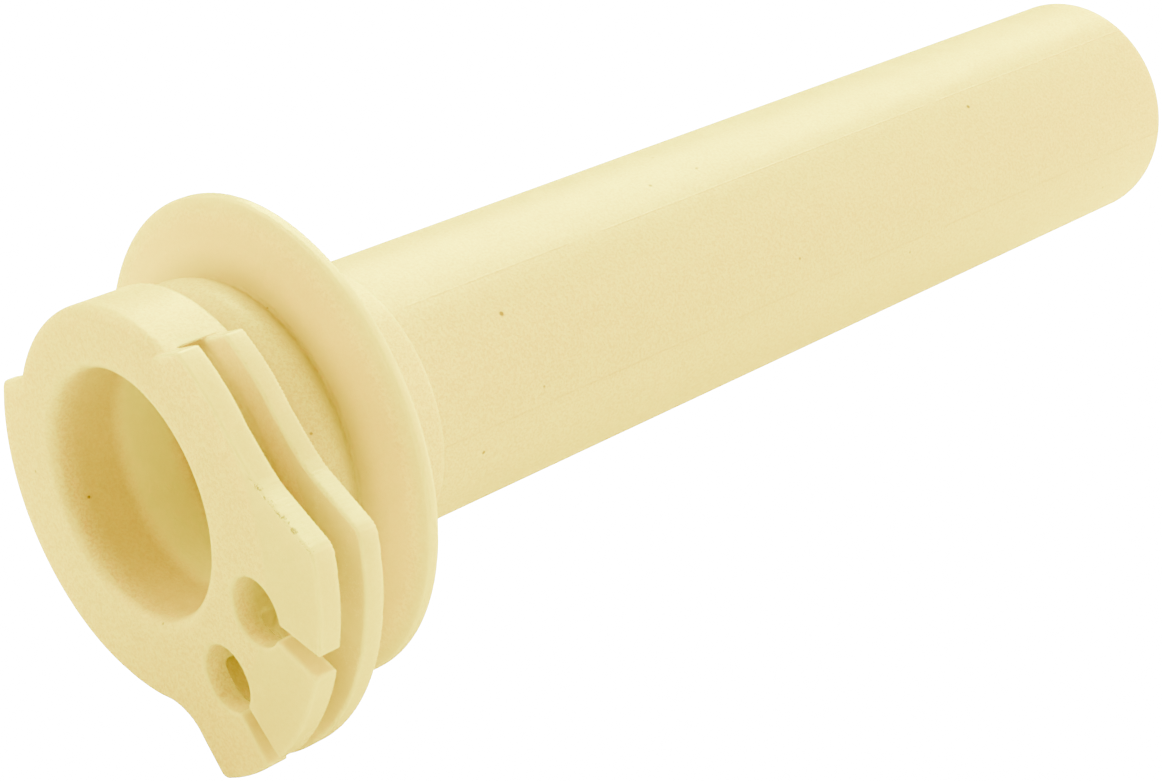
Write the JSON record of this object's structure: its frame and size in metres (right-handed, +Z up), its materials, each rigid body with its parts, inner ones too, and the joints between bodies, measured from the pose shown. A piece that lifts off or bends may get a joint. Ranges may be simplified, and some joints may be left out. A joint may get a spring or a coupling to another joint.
{
  "type": "throttle tube",
  "caption": "Ivory nylon twist-throttle tube: slotted cable drum with two cheeks and a lug, rounded bearing ring, dished guard flange, collar and long plain grip sleeve.",
  "frame": {"origin": "on the bore axis, at the rear face of the guard flange, where a rubber grip butts", "axes": "+Y along the sleeve towards its open end, -Y out of the drum mouth, +Z up, cable lug on the +X -Z side"},
  "size_m": [0.0481, 0.138, 0.0454],
  "materials": {
    "nylon": "satin natural nylon"
  },
  "bodies": {
    "root": {"front_cable_cheek": "nylon", "cable_track_core": "nylon", "rear_cable_cheek": "nylon", "relief_neck": "nylon", "bearing_ring": "nylon", "guard_flange": "nylon", "grip_stop_collar": "nylon", "grip_sleeve": "nylon", "sleeve_end_lip": "nylon"}
  },
  "joints": []
}
